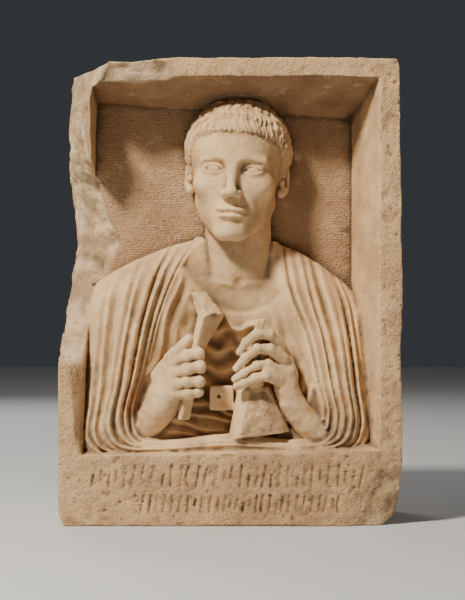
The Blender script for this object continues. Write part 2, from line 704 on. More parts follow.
def edge_from_crown():
    """How far down from the crown the hair's edge lies, for even steps round the head."""
    rounds = np.linspace(-0.5, 0.5, 181)
    edge = []
    falls = np.linspace(20, 260, 160)
    for turn in rounds * 2 * math.pi:
        angle = falls / SCALP_RADIUS
        up, ahead = np.cos(angle), np.sin(angle) * math.cos(turn)
        b = up * math.sin(CROWN_TILT) - ahead * math.cos(CROWN_TILT)
        c = up * math.cos(CROWN_TILT) + ahead * math.sin(CROWN_TILT)
        q = np.column_stack([np.sin(angle) * math.sin(turn), b, c])
        bare = hairline(q * [80, 92, 96] + SCALP_MIDDLE) < 0
        edge.append(falls[np.argmax(bare)] if bare.any() else falls[-1])
    edge = np.array(edge)
    for _ in range(3):
        edge[1:-1] = (edge[:-2] + 2 * edge[1:-1] + edge[2:]) / 4
    return rounds, edge


EDGE = edge_from_crown()
LOCK_LONG = 22.0
LOCK_RISE = 8.5
LOCK_BASE = 5.0
LOCKS_ROUND = [42, 42, 38, 32, 24, 16, 10, 8, 8, 8]
OVERLAP = 0.85


def locks(p):
    """Height of the combed locks above the scalp, and how far the tips reach past the hair's edge."""
    fall, around = from_crown(p)
    up_from_edge = (np.interp(around, *EDGE) - fall) / LOCK_LONG
    height, reach = np.zeros(len(p)), np.zeros(len(p))
    side = np.sign(around + 0.03)
    for below in (0, 1):
        ring = np.clip(np.floor(up_from_edge) + below, 0, 9).astype(int)
        short = np.where(ring == 0, 0.22, 0.45)  # how much sooner the shortest locks of this ring end
        count = np.array(LOCKS_ROUND)[ring]
        t = (ring + 1 - up_from_edge) / (1 + OVERLAP)
        bend = 0.55 * np.sin(2 * math.pi * (4.3 * around + 0.37 * ring)) + 0.75 * side
        place = around * count + 0.5 * (ring % 2) - bend * t**2 + 0.2 * np.sin(5 * t + 2 * ring)
        lock = np.round(place)
        chance = dice(lock.astype(int), ring, 7)
        x = (place - lock + 0.14 * (chance - 0.5)) * 2
        ends = 1 - short * (1 - chance)  # where along its way this lock's tip lies
        narrow = 1.12 * (1 - np.clip((t / ends - 0.5) / 0.5, 0, 1) ** 2.4) ** 0.5 + 1e-3
        body = np.sqrt(np.clip(1 - (x / narrow) ** 2, 0, 1))
        strand = 0.17 * np.cos(7.5 * x + 6 * chance) * smooth(body * 2)
        grown = lerp(0.25, 1.0, smooth(t * 1.3)) * (0.75 + 0.5 * dice(lock.astype(int), ring, 8))
        here = (body + strand) * grown * smooth((ends - t) * 6 + 0.5)
        height = np.maximum(height, here)
        reach = np.maximum(reach, np.where(ring == 0, body * smooth((ends - t) * 6 + 0.5), 0))
    return height, reach


def hair_field(p, skull, combed=True):
    short = lerp(0.35, 1.0, smooth((p[:, 2] + 14) / 60))  # the sideburns are cropped closer
    inside = hairline(p)
    if not combed:
        cap = lerp(-2, (LOCK_BASE + 2.5) * short, smooth(inside / 6 + 0.5))
        return np.where(inside > -4, skull - cap, AWAY)
    height, reach = locks(p)
    base = LOCK_BASE * smooth((inside + 1) / 18)
    lift = LOCK_RISE * height * smooth((inside + 10 * reach - 3) / 4)
    return np.where(inside > -9, skull - (base + lift) * short, AWAY)


# Height, half the width, half the depth and the depth of the middle of each ring of the neck.
NECK_RINGS = [
    (360, 104, 24, 128), (385, 90, 40, 124), (405, 74, 47, 121), (430, 63, 50, 117),
    (460, 59, 50, 113), (500, 57, 50, 110), (545, 55, 50, 108),
]
NECK_X = 13


def neck_field(stone):
    z = stone[:, 2]
    half, deep, middle = (read_off(NECK_RINGS, z, i) for i in (1, 2, 3))
    x, d = stone[:, 0] - NECK_X, stone[:, 1] - middle
    f = (np.sqrt((x / half) ** 2 + (d / deep) ** 2) - 1) * np.minimum(half, deep)
    p = np.column_stack([np.abs(x), stone[:, 1], z])
    f = blend(f, rod(p, (52, 100, 545), (10, 74, 396), 9, 6), 9)
    return blend(f, egg(p, (0, 69, 474), (10, 8, 15)), 8)


def head_and_neck(stone):
    p = to_head(stone)
    face = face_field(p)
    f = blend(face, hair_field(p, face), 1.5)
    f = blend(f, ear_field(p), 2.5)
    return blend(f, neck_field(stone), 9)


# ---- hands and tools -----------------------------------------------------------------------------

GRIPPING_FINGERS = [
    [((-97, 17, 274), 12), ((-73, 3, 285), 10.8), ((-54, 3, 290), 10), ((-51, 22, 284), 8.5)],
    [((-96, 13, 256), 12), ((-73, 0, 264), 10.8), ((-52, 0, 268), 10), ((-50, 20, 262), 8.5)],
    [((-93, 12, 239), 11.5), ((-72, 2, 243), 10.2), ((-53, 2, 243), 9.6), ((-51, 21, 240), 8.5)],
    [((-89, 16, 222), 11), ((-71, 6, 223), 9.6), ((-55, 7, 225), 9), ((-55, 24, 222), 7.5)],
]
GRIPPING_THUMB = [((-122, 34, 250), 14), ((-99, 20, 284), 11), ((-82, 11, 302), 9.5), ((-71, 9, 314), 8)]
GRIPPING_PALM = [((-152, 60, 152), 24), ((-128, 42, 186), 27), ((-112, 36, 215), 32), ((-99, 30, 258), 23)]
HOLDING_FINGERS = [
    [
        ((84, 18, 302), 11), ((66, 3, 321), 9.2), ((45, -3, 323), 8.6), ((27, -4, 309), 8),
        ((15, 0, 292), 6.6),
    ],
    [
        ((88, 16, 282), 11), ((66, 1, 298), 9.2), ((45, -4, 298), 8.6), ((24, -4, 282), 8),
        ((10, 0, 265), 6.4),
    ],
    [
        ((84, 17, 262), 10), ((62, 6, 273), 8.2), ((42, 1, 270), 7.8), ((22, -1, 257), 7.4),
        ((7, 2, 247), 6),
    ],
    [
        ((76, 14, 246), 10), ((58, 2, 252), 8.4), ((40, -2, 249), 8), ((24, -1, 241), 7.4),
        ((9, 3, 235), 6),
    ],
]
HOLDING_THUMB = [((90, 22, 238), 12), ((76, 10, 252), 9.5), ((62, 4, 262), 9.5)]
HOLDING_BACKING = [((62, 34, 306), 18), ((42, 30, 284), 19), ((38, 30, 256), 19), ((40, 32, 236), 16)]
HOLDING_PALM = [
    ((152, 54, 152), 30), ((120, 42, 182), 24), ((98, 32, 220), 21), ((92, 31, 262), 21),
    ((84, 34, 292), 15),
]


def limb_field(p, joints, pieces=7):
    t = evenly(pieces)
    at, radius = Curve([j[0] for j in joints])(t), between([j[1] for j in joints], t, eased=False)
    f = rod(p, at[0], at[1], radius[0], radius[1])
    for i in range(1, pieces):
        f = blend(f, rod(p, at[i], at[i + 1], radius[i], radius[i + 1]), 1.5)
    return f


def finger_field(p, joints):
    """A finger bent at its joints, with a knuckle and a crease at each."""
    f = np.full(len(p), 1e3)
    for (at, wide), (after, narrow) in zip(joints[:-1], joints[1:]):
        f = blend(f, rod(p, at, after, 0.96 * wide, 0.96 * narrow), 3)
    for (at, radius), (after, _) in zip(joints[1:-1], joints[2:]):
        f = blend(f, egg(p, np.array(at), np.full(3, radius * 1.02)), 3)
        ahead = np.array(after, float) - at
        along = (p - at) @ (ahead / np.linalg.norm(ahead))
        f = f + 0.5 * smooth(1 - np.maximum(np.abs(along - 2.5) - 0.3, 0) / 1.4) * (np.abs(f) < 4)
    return f


def finger(joints, hinge):
    made = []
    for first, second in zip(joints[:-1], joints[1:]):
        ends = [(at, 0.96 * radius) for at, radius in (first, second)]
        made.append(limb("finger", ends, hinge, 16, 16))
    for at, radius in joints[1:-1]:
        knuckle = ball("knuckle", 16, 12)
        set_corners(knuckle, to_part(corners(knuckle) * radius * 1.02 + np.array(at)))
        made.append(knuckle)
    return made


def hand_field(stone):
    f = limb_field(stone, GRIPPING_PALM)
    root = smooth((-84 - stone[:, 0]) / 14)
    for joints in GRIPPING_FINGERS:
        bent = finger_field(stone, joints)
        f = lerp(blend(f, bent, 1.0), blend(f, bent, 7), root)
    f = blend(f, limb_field(stone, GRIPPING_THUMB), 4)
    g = blend(limb_field(stone, HOLDING_PALM), limb_field(stone, HOLDING_BACKING), 4)
    root = smooth((stone[:, 0] - 72) / 12)
    for joints in HOLDING_FINGERS:
        bent = finger_field(stone, joints)
        g = lerp(blend(g, bent, 1.0), blend(g, bent, 6), root)
    g = blend(g, limb_field(stone, HOLDING_THUMB), 3)
    return np.minimum(f, g)


def hands():
    level, upright = (0, 0, 1), (0, 1, 0)
    made = [limb("thumb", GRIPPING_THUMB, level), limb("palm", GRIPPING_PALM, level)]
    made += [limb("palm", HOLDING_PALM, upright), limb("backing", HOLDING_BACKING, upright)]
    made.append(limb("thumb", HOLDING_THUMB, level))
    for joints in GRIPPING_FINGERS:
        made += finger(joints, level)
    for joints in HOLDING_FINGERS:
        made += finger(joints, upright)
    return made


def ridged(name, low_end, high_end, ridge=0.3, slope=0.62):
    """A length of the hammer: a narrow left face and a wide right one that meet in a ridge.

    Each end is its middle, its width and its depth.
    """
    (a, wide_a, deep_a), (b, wide_b, deep_b) = low_end, high_end

    def face(side):
        def surface(u, v):
            wide, deep = lerp(wide_a, wide_b, v), lerp(deep_a, deep_b, v)
            fall = np.where(u < ridge, 0.35 * (ridge - u) / ridge, slope * (u - ridge) / (1 - ridge))
            d = lerp(a[1], b[1], v) + 0.5 * side * deep + (fall * wide if side < 0 else 0)
            return stack(lerp(a[0], b[0], v) + (u - 0.5) * wide, d, lerp(a[2], b[2], v))

        return surface

    columns = np.concatenate([lerp(0, ridge, evenly(4)), lerp(ridge, 1, evenly(8))[1:]])
    return slab(name, columns, evenly(20), face(-1), face(1))


def hammer():
    foot, neck_end = ((-80, 34, 176), 21, 30), ((-58, 33, 290), 20, 64)
    spread, stump = ((-33, 42, 354), 45, 86), ((-55, 60, 392), 28, 66)
    return [
        ridged("hammer_shaft", foot, neck_end),
        ridged("hammer_spread", neck_end, spread, 0.24),
        ridged("hammer_stump", spread, stump, 0.35, 0.3),
    ]


CUP = dict(x=44, d=42, z=190, rim=53, foot=28, tall=80, lean=-7)


def cup():
    """A cup held rim down, with a rough flat break across its front."""
    cone = bpy.ops.mesh.primitive_cone_add
    obj = added("cup", cone, vertices=72, radius1=CUP["rim"], radius2=CUP["foot"], depth=CUP["tall"])
    edited(obj, bpy.ops.mesh.subdivide, number_cuts=6)
    p = corners(obj) * [1, 0.9, 1]
    lean = math.radians(CUP["lean"])
    x = p[:, 0] * math.cos(lean) + p[:, 2] * math.sin(lean)
    z = p[:, 2] * math.cos(lean) - p[:, 0] * math.sin(lean)
    p = np.column_stack([x + CUP["x"], p[:, 1] + CUP["d"], z + CUP["z"]])
    p[:, 1] = np.maximum(p[:, 1], 2 + 0.06 * (CUP["z"] + CUP["tall"] / 2 - p[:, 2]))
    set_corners(obj, to_part(p))
    return outward(obj)


def cup_break(x, z):
    """How surely a place on the cup's front lies right of the line where its break starts."""
    return smooth((x - 12 - 0.25 * (z - (CUP["z"] - CUP["tall"] / 2))) / 6)


def tools():
    return hammer() + [
        bar("punch", (34, 22, 250), (51, 20, 348), 13, 30, 16, 26),
        cup(),
        bar("tab", (-15, 84, 191), (-15, 84, 233), 42, 66, 40, 66),
    ]


def reach(direction, field, farthest=170.0, steps=20):
    near, far = np.zeros(len(direction)), np.full(len(direction), farthest)
    for _ in range(steps):
        middle = (near + far) / 2
        inside = field(direction * middle[:, None]) < 0
        near, far = np.where(inside, middle, near), np.where(inside, far, middle)
    return near[:, None]


def head():
    """A ball pushed out to the face and hair, and one for each ear."""
    made = []
    skull = ball("head", 120, 90)

    def bare(p):
        face = face_field(p)
        return blend(face, hair_field(p, face, combed=False), 3)

    direction = corners(skull)
    set_corners(skull, to_part(from_head(direction * reach(direction, bare))))
    made.append(outward(skull))
    for side in (-1, 1):
        ear = ball("ear", 36, 30)
        middle = np.array([side * 74, 2, -9])
        direction = corners(ear)
        out = reach(direction, lambda p: ear_field(p + middle), 60.0)
        set_corners(ear, to_part(from_head(direction * out + middle)))
        made.append(outward(ear))
    return made


def neck():
    obj = added("neck", bpy.ops.mesh.primitive_cylinder_add, vertices=64, radius=1, depth=1)
    edited(obj, bpy.ops.mesh.subdivide, number_cuts=11)
    p = corners(obj)
    z = lerp(NECK_RINGS[0][0], NECK_RINGS[-1][0], p[:, 2] + 0.5)
    half, deep, middle = (read_off(NECK_RINGS, z, i) for i in (1, 2, 3))
    set_corners(obj, to_part(stack(NECK_X + p[:, 0] * half, middle + p[:, 1] * deep, z)))
    return outward(obj)


# ---- one stone -----------------------------------------------------------------------------------


def hew():
    """Joins every form into one closed skin of even, fine faces."""
    forms = [broken_block(), mantle(), tunic(), neck()] + head() + hands() + tools()
    forms.append(bar("corner_cloth", (-240, 76, 106), (-240, 76, 142), 34, 76, 34, 76))
    stone = joined("grave_stele", forms)
    apply(stone, "REMESH", mode="VOXEL", voxel_size=GRAIN / 1000, adaptivity=0)
    return stone


class Skin:
    """The fine skin of the stone as arrays, for work that moves its points."""

    def __init__(self, obj):
        self.obj = obj
        self.read()

    def read(self):
        obj = self.obj
        self.p = to_stone(corners(obj))
        edges = np.empty(2 * len(obj.data.edges), np.int32)
        obj.data.edges.foreach_get("vertices", edges)
        self.edges = edges.reshape(-1, 2)
        self.valence = np.bincount(self.edges.ravel(), minlength=len(self.p)).astype(float)

    def normals(self):
        set_corners(self.obj, to_part(self.p))
        flat = np.empty(3 * len(self.p), np.float32)
        self.obj.data.vertex_normals.foreach_get("vector", flat)
        return flat.reshape(-1, 3).astype(float)

    def around(self, values):
        """The mean of the neighbours' values at each point."""
        i, j = self.edges[:, 0], self.edges[:, 1]
        count = len(self.p)
        if values.ndim == 1:
            total = np.bincount(i, values[j], count) + np.bincount(j, values[i], count)
            return total / self.valence
        return np.column_stack([self.around(values[:, k]) for k in range(values.shape[1])])

    def ease(self, weight, rounds):
        for _ in range(rounds):
            self.p += (self.around(self.p) - self.p) * weight[:, None]

    def settle(self, near, field, most, rounds=2):
        """Moves the points that lie close to a field's surface, and face its way, onto it."""
        for _ in range(rounds):
            facing = self.normals()[near]
            p = self.p[near]
            f = field(p)
            step = 0.4
            slope = np.column_stack([field(p + np.eye(3)[k] * step) - f for k in range(3)]) / step
            steep = np.maximum((slope**2).sum(1), 0.3)
            agree = smooth(((slope * facing).sum(1) / np.sqrt(steep) - 0.3) / 0.4)
            shift = -(f * smooth((most - np.abs(f)) / 1.5) * agree / steep)[:, None] * slope
            far = np.linalg.norm(shift, axis=1, keepdims=True)
            self.p[near] = p + shift * np.minimum(1, 2.5 / np.maximum(far, 1e-6))


def foot_rise(x):
    return FOOT_RISE * (x - MOUTH["left_foot"]) / (MOUTH["right"] - MOUTH["left_foot"])


def in_niche(p):
    """How far inside the niche's mouth a point lies, seen from the front, in mm."""
    x, z = p[:, 0], p[:, 2]
    left = np.interp(z, [MOUTH["foot"], MOUTH["top"]], [MOUTH["left_foot"], MOUTH["left"]])
    inside = np.minimum(np.minimum(x - left, MOUTH["right"] - x), MOUTH["top"] - z)
    return np.minimum(inside, z - MOUTH["foot"] - foot_rise(x))


STROKE_ROWS = [
    dict(foot=66, tall=35, left=-232, right=226, seed=11, gap=14.5),
    dict(foot=24, tall=27, left=-148, right=186, seed=12, gap=12.0),
]


def groove(q, start, end, bow, wide):
    """Share of full depth, from 0 to 1, of one cut of a V chisel, bowed sideways at its middle."""
    start, end = np.array(start, float), np.array(end, float)
    along = end - start
    length = np.linalg.norm(along)
    t = ((q - start) @ along) / length**2
    inside = np.clip(t, 0, 1)
    across = (q - start) @ np.array([along[1], -along[0]]) / length - bow * 4 * inside * (1 - inside)
    away = np.hypot(across, (t - inside) * length)
    return np.clip(1 - away / wide, 0, 1)


def strokes(p):
    """Depth of two rows of shallow cuts that stand apart and spell nothing: long, short and bowed bars."""
    depth = np.zeros(len(p))
    front = (p[:, 1] < 8) & (p[:, 2] < MOUTH["foot"])
    q = p[front][:, [0, 2]]
    cutting = np.zeros(len(q))
    for row in STROKE_ROWS:
        x, count, tall, foot = row["left"], 0, row["tall"], row["foot"]
        while x < row["right"]:
            chance = [float(dice(count, k, 3, row["seed"])) for k in range(5)]
            near = np.abs(q[:, 0] - x) < 26
            kind = int(chance[0] * 5)
            lean = (0.06 + 0.16 * chance[1]) * tall
            start, end, bow = (x - lean / 2, foot), (x + lean / 2, foot + tall), 0.0
            if kind == 1:  # a short bar off the foot or the head of the row
                start = (x - lean / 3, foot + tall * 0.42 * round(chance[2]))
                end = (x + lean / 3, start[1] + tall * 0.55)
            elif kind == 2:  # a bowed bar
                bow = (chance[3] - 0.5) * 0.22 * tall
            elif kind == 3:  # a short bar half-way up
                start, end = (x - lean / 4, foot + tall * 0.3), (x + lean / 4, foot + tall * 0.75)
            cut_here = groove(q[near], start, end, bow, 3.0) * (0.65 + 0.35 * chance[4])
            cutting[near] = np.maximum(cutting[near], cut_here)
            x += row["gap"] * (0.8 + 0.4 * chance[2])
            count += 1
    depth[front] = cutting
    return depth


def by_hands(p):
    """Whether each point lies in the box round both hands."""
    return (np.abs(p[:, 0]) < 185) & (p[:, 2] > 125) & (p[:, 2] < 345) & (p[:, 1] < 75)


def worked(stone):
    """The finish of each surface: worn edges, pits, tool marks, struck facets and cut strokes."""
    skin = Skin(stone)
    p = skin.p
    cloth = (in_niche(p) > 0) & (p[:, 1] < NICHE_DEPTH - 4) & (p[:, 2] < 430)
    skin.ease(np.where(cloth, 0.5, 0.3), 2)
    skin.ease(cloth * 0.5, 4)
    refine_face(skin)
    p = skin.p
    near_head = (np.abs(p[:, 0] - HEAD["x"]) < 130) & (p[:, 2] > 418) & (p[:, 1] < 134)
    near_head &= np.linalg.norm((p - [HEAD["x"], 100, 570]) / [120, 135, 190], axis=1) < 1
    skin.settle(np.flatnonzero(near_head), head_and_neck, 6.0, 3)
    skin.settle(np.flatnonzero(by_hands(p)), hand_field, 4.0)
    hair = near_head & (hairline(to_head(skin.p)) > -8)
    skin.ease(np.where(hair, 0.45, near_head * 0.2), 2)
    x, d, z = skin.p.T
    tab = (np.abs(x + 18) < 24) & (np.abs(z - 212) < 27) & (d < 75)
    shaft_foot = (np.abs(x + 76) < 18) & (z > 166) & (z < 212) & (d < 62)
    wall = lerp(MOUTH["right"], GROUND["right"], d / NICHE_DEPTH)
    seam = (np.abs(x - wall) < 7) & (d > 20) & (z > 135) & (z < 415)
    skin.ease(0.6 * (tab | shaft_foot | seam), 5)
    soften_neck(skin)
    round_edges(skin)
    p, normal = skin.p, skin.normals()
    skin.p = p + normal * tool_marks(p, normal)[:, None]
    skin.p[:, 2] = np.maximum(skin.p[:, 2], 0)
    return finish_skin(skin)


def refine_face(skin):
    """Halves the step of the skin on the face and the front of the hair."""
    set_corners(skin.obj, to_part(skin.p))
    head = np.linalg.norm((skin.p - [HEAD["x"], 40, HEAD["z"] + 10]) / [96, 70, 124], axis=1) < 1
    mesh = skin.obj.data
    flat = np.empty(4 * len(mesh.polygons), np.int32)
    mesh.polygons.foreach_get("vertices", flat)
    chosen = head[flat.reshape(-1, 4)].all(1)
    pick(skin.obj)
    mesh.vertices.foreach_set("select", np.zeros(len(mesh.vertices), bool))
    mesh.edges.foreach_set("select", np.zeros(len(mesh.edges), bool))
    mesh.polygons.foreach_set("select", chosen)
    bpy.ops.object.mode_set(mode="EDIT")
    bpy.ops.mesh.select_mode(type="FACE")
    bpy.ops.mesh.subdivide(number_cuts=1)
    bpy.ops.object.mode_set(mode="OBJECT")
    skin.read()


def soften_neck(skin):
    """The neck passes into the chest, with collarbones and the hollow between them."""
    p = skin.p
    x, d, z = p.T
    near = smooth((d < 96) * (1 - np.hypot((x - NECK_X) / 84, (z - 414) / 40)) * 3)
    skin.ease(near * 0.6, 26)
    x, d, z = skin.p.T
    out = np.abs(x - NECK_X)
    line = 407 + 0.12 * np.clip(out - 8, 0, 60) - z
    bones = 2.2 * np.exp(-((line / 6.5) ** 2)) * smooth((out - 4) / 8) * smooth((66 - out) / 30)
    notch = 3.0 * np.exp(-((out / 8) ** 2) - ((z - 411) / 8) ** 2)
    skin.p[:, 1] -= (bones - notch) * (d < 96) * (np.abs(z - 410) < 26)


def round_edges(skin):
    """Edges of the block are worn round, more in some places than in others."""
    p = skin.p
    framing = (in_niche(p) < 2) | (p[:, 1] > NICHE_DEPTH)
    worn = smooth((rough(p[framing], 45, 3, 51) + 0.25) * 1.6)
    weight = np.zeros(len(p))
    weight[framing] = worn * 0.65 + 0.2
    weight *= 1 - 0.9 * on_left_break(p)
    skin.ease(weight, 11)


def on_walls(p, normal):
    """Whether each point lies on the sides, the soffit or the foot of the niche."""
    x, d, z = p.T
    deep = np.clip(d / NICHE_DEPTH, 0, 1)
    up = (z - MOUTH["foot"]) / (MOUTH["top"] - MOUTH["foot"])
    right = np.abs(x - lerp(MOUTH["right"], GROUND["right"], deep)) < 4
    left = np.abs(x - lerp(MOUTH["left_foot"], MOUTH["left"], up)) < 4
    foot = np.abs(z - lerp(MOUTH["foot"], GROUND["foot"], deep) - foot_rise(x)) < 3
    side = (right | left) & (np.abs(normal[:, 0]) > 0.6)
    upright = ((z > 680) & (normal[:, 2] < -0.5)) | (foot & (normal[:, 2] > 0.6))
    return (side | upright) & (in_niche(p) > -3) & (d < NICHE_DEPTH - 3)


def on_left_break(p):
    """How surely each point lies on the fracture of the left side, from 0 to 1."""
    x, d, z = p.T
    near = smooth((9 - np.abs(left_fracture(x, z) - d)) / 4)
    return near * smooth((z - 262) / 24) * smooth((read_off(LEFT_BREAK, z) + 2 - x) / 12)


PLAIN_FOOT = 2.5  # the height, in mm, up to which the stone keeps its flat underside


def tool_marks(p, normal):
    """How far the finish moves each point outwards, in mm."""
    x, d, z = p.T
    inside = in_niche(p)
    framing = inside < 2
    front = np.flatnonzero(framing & (normal[:, 1] < -0.6) & (d < 14))
    break_share = on_left_break(p)
    broken_left = break_share > 0
    ground = (inside > 0) & (np.abs(d - NICHE_DEPTH) < 5) & (normal[:, 1] < -0.8)
    figure = np.flatnonzero((inside >= 2) & (d < NICHE_DEPTH - 4))
    move = np.zeros(len(p))

    # The frame and the band: coarse pits, lost flakes and a slow waviness.
    q = p[front]
    band = smooth((MOUTH["foot"] + 12 - q[:, 2]) / 14)
    right = smooth((q[:, 0] - 246) / 10)
    coarse = lerp(0.95, 1.5, np.maximum(band, right))
    lost = smooth((rough(q, 42, 2, 62) - 0.12) * 5) * smooth(0.4 + rough(q, 14, 2, 67))
    pits = pitted(q, 12, 61) * (0.8 + 0.5 * rough(q, 60, 2, 62)) + 0.7 * pitted(q, 6, 64)
    move[front] = coarse * (-2.6 * pits - 1.3 * lost + 0.9 * rough(q, 9, 3, 65, 0.65))
    move[front] += 2.0 * rough(q, 38, 2, 63)
    move[front] -= strokes(q) * (3.4 + 1.2 * rough(q, 30, 2, 66)) * (1 - 0.4 * lost)

    # The ground: short level tooth marks in rows.
    here = np.flatnonzero(ground)
    q = p[here]
    rows = np.sin(2 * math.pi * (q[:, 2] / 5.4 + 0.6 * swell(q, 40, 71) + 0.25 * swell(q, 9, 72)))
    bite = smooth(0.5 + 0.9 * swell(q * [1, 1, 2.4], 6.5, 73))
    move[here] = 0.16 * rows * bite - 1.7 * pitted(q * [1, 1, 1.3], 6.0, 74) + 1.1 * rough(q, 36, 2, 75)

    # The figure keeps its surface, with a faint grain and scattered pits, and the cup's front is broken.
    q = p[figure]
    worn = smooth(rough(q, 55, 2, 83) * 2 + 0.4)
    on_hands = smooth((4 - far_from_hands(q)) / 2)
    move[figure] = (0.45 + 0.5 * on_hands) * rough(q, 8, 2, 81)
    move[figure] += 0.8 * rough(q, 17, 2, 88) * far_from_face(q)
    move[figure] -= 1.4 * pitted(q, 13, 82) * worn
    cup_front = (np.abs(q[:, 0] - 44) < 60) * (q[:, 1] < 24) * smooth((-normal[figure][:, 1] - 0.45) / 0.4)
    cup_front = cup_front * smooth((q[:, 2] - 150) / 8) * smooth((236 - q[:, 2]) / 8)
    spall = cup_break(q[:, 0], q[:, 2]) * cup_front
    free = smooth((far_from_hands(q) - 1.5) / 3)
    move[figure] += spall * free * (7 * chipped(q, 22, 84, 0.5) + 2.6 * rough(q, 8, 3, 85, 0.7) - 1.0)
    hole = np.hypot(q[:, 0] + 19.5, q[:, 2] - 215)
    move[figure] -= 7 * smooth(1 - hole / 4.5) * (q[:, 1] < 60)
    stump = smooth((q[:, 2] - 348) / 8) * smooth((48 - q[:, 1]) / 6)
    stump = stump * (q[:, 2] < 400) * (np.abs(q[:, 0] + 42) < 36)
    move[figure] += stump * (5.0 * chipped(q, 13, 86) + 1.2 * rough(q, 7, 2, 87) - 1.0)

    # The sides, the soffit and the foot of the niche keep a light tooth.
    here = np.flatnonzero(on_walls(p, normal))
    q = p[here]
    move[here] = 0.6 * rough(q, 7, 3, 76) - 1.3 * pitted(q, 8, 77) + 1.1 * rough(q, 30, 2, 78)

    # The left side broke in long facets with sharp ridges.
    here = np.flatnonzero(broken_left & ~ground)
    q = p[here] * [1, 1, 0.6]
    facets = 8 * chipped(q, 27, 95) + 3.5 * chipped(q, 12, 96) + 1.9 * rough(q, 8, 3, 97, 0.65) - 1.0
    move[here] = break_share[here] * np.clip(facets, -4, 2) * smooth((784 - q[:, 2] / 0.6) / 30)

    # Hidden sides are dressed with a point. The underside is plain.
    hidden = (d > NICHE_DEPTH + 10) | (np.abs(x) > HALF_WIDTH - 18) | (z > HEIGHT - 8)
    hidden &= ~broken_left & ~ground & (z > 4)
    hidden[front] = False
    hidden = np.flatnonzero(hidden)
    q = p[hidden]
    pecked = pitted(q * [1, 1, 0.6], 26, 92) * smooth(0.6 + rough(q, 90, 2, 93))
    move[hidden] = 2.2 * rough(q, 34, 3, 91) - 4.0 * pecked
    return np.where(z < PLAIN_FOOT, 0, move)


def far_from_face(p):
    """0 on the face, 1 on the rest of the figure, so that the face keeps its fine surface."""
    return smooth(np.linalg.norm((p - [HEAD["x"], 20, HEAD["z"] - 10]) / [80, 90, 110], axis=1) - 0.6)


def far_from_hands(p):
    """Distance from the hands' surface, in mm, and AWAY where they can't be."""
    far = np.full(len(p), AWAY)
    near = by_hands(p)
    far[near] = hand_field(p[near])
    return far


SPARE = 0.003  # how far the finish may stand out of the CAD box, in metres


def finish_skin(skin):
    """Keeps the skin to the CAD box and thins its faces, least of all on the figure."""
    stone = skin.obj
    part = to_part(skin.p)
    for axis in range(3):
        part[:, axis] = np.clip(part[:, axis], cad_low[axis] - SPARE, cad_high[axis] + SPARE)
    part[:, 2] = np.maximum(part[:, 2], cad_low[2])
    set_corners(stone, part)
    p = to_stone(part)
    faces = len(stone.data.loops) - 2 * len(stone.data.polygons)
    on_head = np.linalg.norm((p - [HEAD["x"], 60, 600]) / [100, 85, 135], axis=1) < 1
    on_front = (p[:, 1] < NICHE_DEPTH + 4) & (np.abs(p[:, 0]) < HALF_WIDTH - 3)
    figure = (in_niche(p) > 2) & (p[:, 1] < NICHE_DEPTH - 4)
    group = stone.vertex_groups.new(name="thin")
    weight = np.where(on_head & figure, 0.95, np.where(figure, 0.98, np.where(on_front, 0.993, 1.0)))
    for share in np.unique(weight):
        group.add(np.flatnonzero(weight == share).tolist(), float(share), "REPLACE")
    share = min(1.0, MOST_FACES / faces)
    apply(stone, "DECIMATE", ratio=share, vertex_group="thin", vertex_group_factor=0.001)
    return stone


# ---- masks that the finish reads -----------------------------------------------------------------


def mark(stone):
    """Writes, for each point, how surely it lies on each kind of surface."""
    skin = Skin(stone)
    p, normal = skin.p, skin.normals()
    x, d, z = p.T
    inside = in_niche(p)
    struck = on_left_break(p)
    fracture = lintel_fracture(x, z)
    lintel = (x > BITE["left"]) & (x < BITE["right"]) & (z > 700) & (fracture > 0) & (d < 60)
    struck = np.maximum(struck, lintel * smooth((6 - np.abs(fracture - d)) / 3))
    corner = corner_fracture(x, z)
    worn_corner = smooth(corner / 9) * smooth((6 - np.abs(corner - d)) / 3)
    worn_corner = worn_corner * (x > CORNER["left"]) * (z < CORNER["top"] + 2)
    struck = np.maximum(struck, 0.4 * worn_corner)
    cup_front = cup_break(x, z) * (x < 104) * (z > 146) * (z < 236) * (d < 24)
    ground = (inside > -2) * smooth((d - NICHE_DEPTH + 9) / 6) * (d < NICHE_DEPTH + 6)
    browned = (inside > -14) * smooth((-normal[:, 2] - 0.5) / 0.3) * (z > 640)
    browned = np.maximum(browned, 0.7 * cup_front * smooth((far_from_hands(p) - 1.5) / 3))
    # Hollows of several sizes, from how far the skin lies below the mean around it.
    hollow, crest = np.zeros(len(p)), np.zeros(len(p))
    level = p.copy()
    for size, rounds in ((1.2, 2), (3.5, 6), (8.0, 16)):
        for _ in range(rounds):
            level += (skin.around(level) - level) * 0.6
        depth = ((level - p) * normal).sum(1)
        hollow = np.maximum(hollow, np.clip(depth / size, 0, 1))
        crest = np.maximum(crest, np.clip(-depth / size, 0, 1))
    for _ in range(3):
        hollow += (skin.around(hollow) - hollow) * 0.6
    hollow *= 1 - 0.5 * struck
    figure = ((inside > 0) & (d < NICHE_DEPTH - 6)) * np.where(on_walls(p, normal), 0.6, 1.0)
    masks = dict(struck=struck, ground=ground, browned=browned, hollow=hollow, crest=crest, figure=figure)
    for name, values in masks.items():
        layer = stone.data.attributes.new(name, "FLOAT", "POINT")
        layer.data.foreach_set("value", np.clip(values, 0, 1).astype(np.float32))
    return stone


# ---- marble --------------------------------------------------------------------------------------


